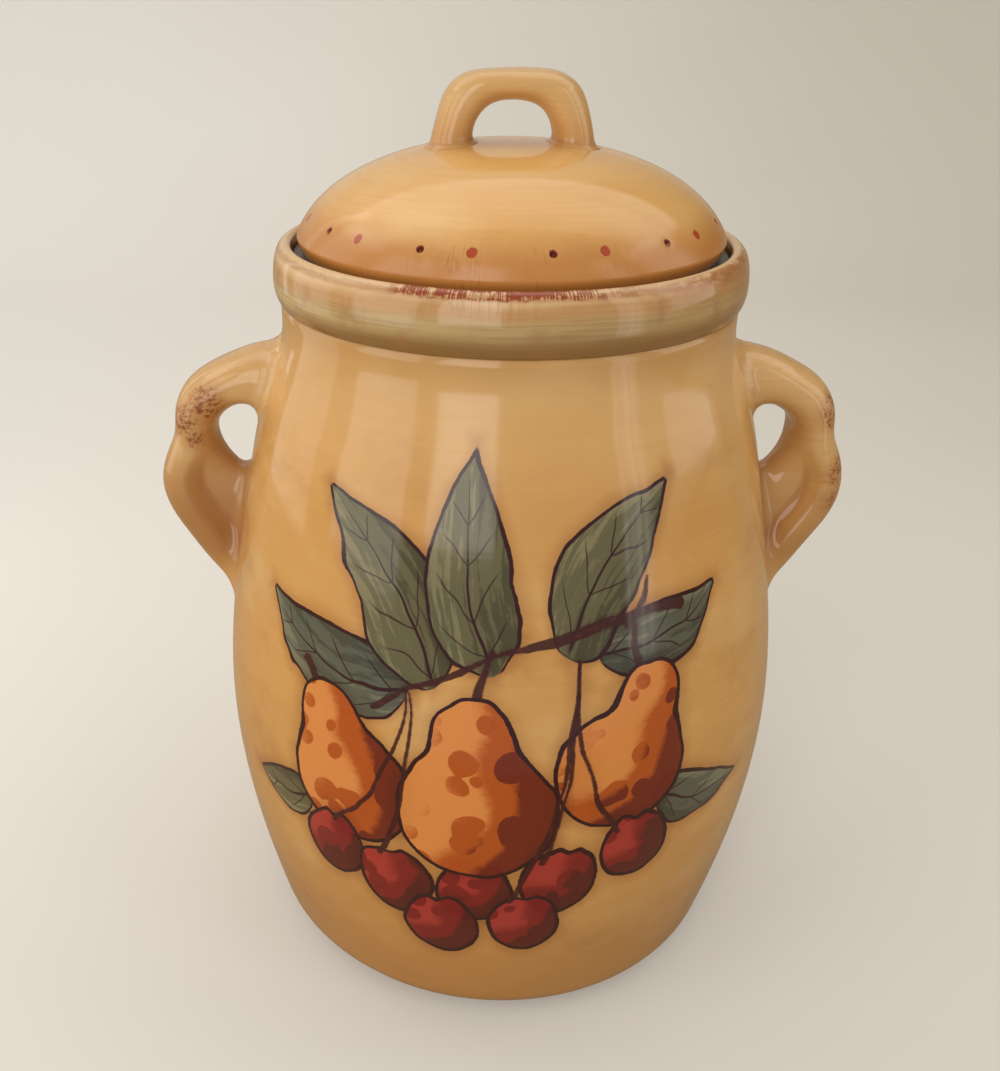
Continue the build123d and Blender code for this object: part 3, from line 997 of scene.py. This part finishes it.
def roughen(made, depth, size, seed):
    # Pushes the surface in by up to the depth, in patches of the size.
    where, ways = readPoints(made)
    writePoints(made, where - ways * (depth * softNoise(where, seed, size))[:, None])


def buildBar(name, rails, bar, finish, clearance, way, seed, side=1):
    rows = barLoft(rails, bar)
    rows[:, :, 0] *= side
    made = barMesh(name, rows, finish)
    weldFoot(made, clearance, way, bar["spread"])
    roughen(made, bar["unevenness"], bar["patch"], seed)
    return made


# Ear handles. Rail points are measured from the origin, at the barrel's shoulder. At each: half the depth,
# how square the section is, and the dish. The foot's fillet has the spread for its radius.
ear = {"origin": (87.4, 177.0), "spacing": 1.1, "around": 96, "spread": 5.5, "unevenness": 0.5, "patch": 22,
       "outer": ((-15, 43.4), (-8.5, 42.9), (1.5, 40.6), (11.5, 36), (19.8, 29.8), (24, 22.2), (25.2, 14),
                 (28.6, 5), (31, -5), (28.9, -15.5), (23.6, -25), (17.4, -34.5), (10.1, -44.5), (5.5, -52)),
       "inner": ((-7.6, 19.4), (-4.6, 21.4), (-1.4, 22.6), (1.6, 22.9), (6.6, 20.4), (9.9, 16), (10.6, 11.4),
                 (9.2, 7.0), (6.4, 3.0), (2.6, -0.8), (-2, -6), (-0.5, -17), (2, -31), (4.6, -45)),
       "half": (13.6, 13.6, 13.6, 13.7, 13.9, 13.9, 13.9, 13.9, 13.9, 13.9, 13.7, 13.2, 12.0, 10.5),
       "square": (2.3, 2.3, 2.3, 2.25, 2.2, 2.2, 2.2, 2.25, 2.35, 2.5, 2.6, 2.6, 2.5, 2.4),
       "dish": (0, 0, 0, 0, 0, 0, 0.5, 2.0, 4.0, 5.0, 5.0, 4.2, 2.5, 1.0)}


def wallClearance(where):
    # The fillet's foot lies a little inside the wall.
    return np.hypot(where[:, 0], where[:, 1]) - barrelRadius(where[:, 2]) + 0.15


def wallWay(where):
    slope = (barrelRadius(where[:, 2] + 1) - barrelRadius(where[:, 2] - 1)) / 2
    flat = np.hypot(where[:, 0], where[:, 1])
    way = np.stack([where[:, 0] / flat, where[:, 1] / flat, -slope], 1)
    return way / np.linalg.norm(way, axis=1)[:, None]


earRails = np.hstack([ear["outer"], ear["inner"]]) + np.tile(ear["origin"], 2)
handleRight = buildBar("clay_ear_right", earRails, ear, earGlaze, wallClearance, wallWay, 21)
handleLeft = buildBar("clay_ear_left", earRails, ear, earGlaze, wallClearance, wallWay, 34, -1)
print("ears", len(handleRight.data.polygons))

# Loop on the lid: half of its rails, left foot to top.
loop = {"outer": ((-26, 279), (-25.2, 284), (-23.9, 289.5), (-22.2, 295), (-18.9, 300.4), (-13, 303.7),
                  (-6, 304.4), (0, 304.5)),
        "inner": ((-12.2, 280.4), (-12.0, 285.2), (-11.2, 288.9), (-9.3, 292), (-6.9, 293.9), (-4.5, 294.8),
                  (-2.2, 295.2), (0, 295.3)),
        "half": 9.4, "square": 2.1, "dish": 0, "spacing": 0.8, "around": 64, "spread": 2.2, "unevenness": 0.3,
        "patch": 16, "seed": 55}


def domeHeight(radius):
    skin = domeRun(np.linspace(0, 90, 181))
    return np.interp(radius, skin[::-1, 0], skin[::-1, 1])


def domeWay(where):
    flat = np.maximum(np.hypot(where[:, 0], where[:, 1]), 1e-3)
    slope = domeHeight(flat + 0.5) - domeHeight(np.maximum(flat - 0.5, 0))
    way = np.stack([-slope * where[:, 0] / flat, -slope * where[:, 1] / flat, np.ones(len(where))], 1)
    return way / np.linalg.norm(way, axis=1)[:, None]


def domeClearance(where):
    return where[:, 2] - domeHeight(np.hypot(where[:, 0], where[:, 1]))


halfLoop = np.hstack([loop["outer"], loop["inner"]])
loopRails = np.vstack([halfLoop, halfLoop[-2::-1] * (-1, 1, -1, 1)])
lidHandle = buildBar("clay_loop", loopRails, loop, loopGlaze, domeClearance, domeWay, loop["seed"])
print("loop", len(lidHandle.data.polygons))

# Each piece rides on its body, and stands in for its CAD node.
for piece, body, node, finish in (
        (jarBarrel, "jar", "jar_barrel", "body_glaze"), (rimCollar, "jar", "rim_collar", "collar_glaze"),
        (footRing, "jar", "foot_ring", "bare_clay"), (handleLeft, "jar", "handle_left", "body_glaze"),
        (handleRight, "jar", "handle_right", "body_glaze"), (lidDome, "lid", "lid_dome", "lid_glaze"),
        (lidFlange, "lid", "lid_flange", "bare_clay"), (lidHandle, "lid", "lid_handle", "lid_glaze"),
        (lidSeal, "lid", "lid_seal", "seal_rubber")):
    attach(piece, body)
    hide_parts(node)

# Camera: place in metres, tilt up from straight down in degrees, lens and sensor in mm.
view = {"place": (-0.02506, -0.358, 0.3276), "tilt": 63.39, "lens": 37.28, "sensor": 36, "shift": 0.065}
camera = newObject("camera", bpy.data.cameras.new("camera"))
camera.location = view["place"]
camera.rotation_euler = (radians(view["tilt"]), 0, 0)
camera.data.lens = view["lens"]
camera.data.sensor_width = view["sensor"]
camera.data.shift_x = view["shift"]
camera.data.clip_start = 0.01
bpy.context.scene.camera = camera


def backdrop():
    # A pale floor that sweeps up into a wall well behind the jar.
    start, bend, half, top = 0.9, 0.6, 4.0, 3.0
    run = [(-0.34, -0.03), (-0.34, -0.004), (-0.335, 0.0), (start, 0.0)]
    run += [(start + bend * sin(radians(a)), bend - bend * cos(radians(a))) for a in range(6, 90, 6)]
    run += [(start + bend, bend), (start + bend, top)]
    points = [(x, y, z) for y, z in run for x in (-half, half)]
    made = meshObject("sweep", points, gridFaces(len(run), 2))
    made.data.shade_smooth()
    made.data.materials.append(sweepFinish())
    return made


backdrop()
warm = (1.0, 0.965, 0.91)


def panel(name, place, aim, size, radiance):
    # A rectangle of warm light, at a place, that faces its aim.
    lamp = bpy.data.lights.new(name, "AREA")
    lamp.shape = "RECTANGLE"
    lamp.size, lamp.size_y = size
    lamp.energy = radiance * pi * size[0] * size[1]
    lamp.color = warm
    made = newObject(name, lamp)
    made.location = place
    made.rotation_euler = (Vector(aim) - Vector(place)).to_track_quat("-Z", "Y").to_euler()


def window(name, turn, away, low, high, panes, radiance):
    # Upright panes, each (offset along the wall, width) in metres, at a turn from the front towards +X.
    side = Vector((cos(radians(turn)), sin(radians(turn)), 0))
    middle = Vector((sin(radians(turn)), -cos(radians(turn)), 0)) * away
    for number, (offset, width) in enumerate(panes):
        place = middle + side * offset + Vector((0, 0, (low + high) / 2))
        aim = place - middle
        panel(f"{name}{number}", place, (aim.x - side.x * offset, aim.y - side.y * offset, place.z),
              (width, high - low), radiance)


slits = ((-0.27, 0.012), (-0.235, 0.008), (-0.205, 0.022), (-0.165, 0.012))
window("windowFront", -20, 1.3, 0.10, 1.6, ((0.0, 0.64),), 2.3)
window("windowSide", -60, 1.0, 0.02, 1.15, ((0.0, 0.58),), 1.4)
window("windowLeft", -103, 0.55, 0.07, 0.75, ((0.0, 0.3),), 0.75)
window("slitLeft", -128, 0.55, 0.12, 0.75, ((0.0, 0.04),), 0.9)
window("windowRight", 70, 0.6, 0.01, 0.85, slits, 1.3)
window("paneRight", 70, 0.6, 0.21, 0.85, ((0.16, 0.32),), 1.0)
window("curtainRight", 70, 0.62, 0.01, 0.85, ((-0.21, 0.15),), 0.55)
panel("ceiling", (0, 0.72, 1.9), (0, 0.72, 0), (4.4, 1.56), 0.62)
panel("ceilingBack", (0, 0.86, 1.85), (0, 0.86, 0), (4.4, 1.26), 0.5)
room = {"colour": (0.86, 0.83, 0.78, 1), "strength": 0.52}
world = bpy.data.worlds.new("room")
world.use_nodes = True
world.node_tree.nodes["Background"].inputs["Color"].default_value = room["colour"]
world.node_tree.nodes["Background"].inputs["Strength"].default_value = room["strength"]
bpy.context.scene.world = world
bpy.context.scene.view_settings.view_transform = "Standard"

bpy.context.view_layer.update()
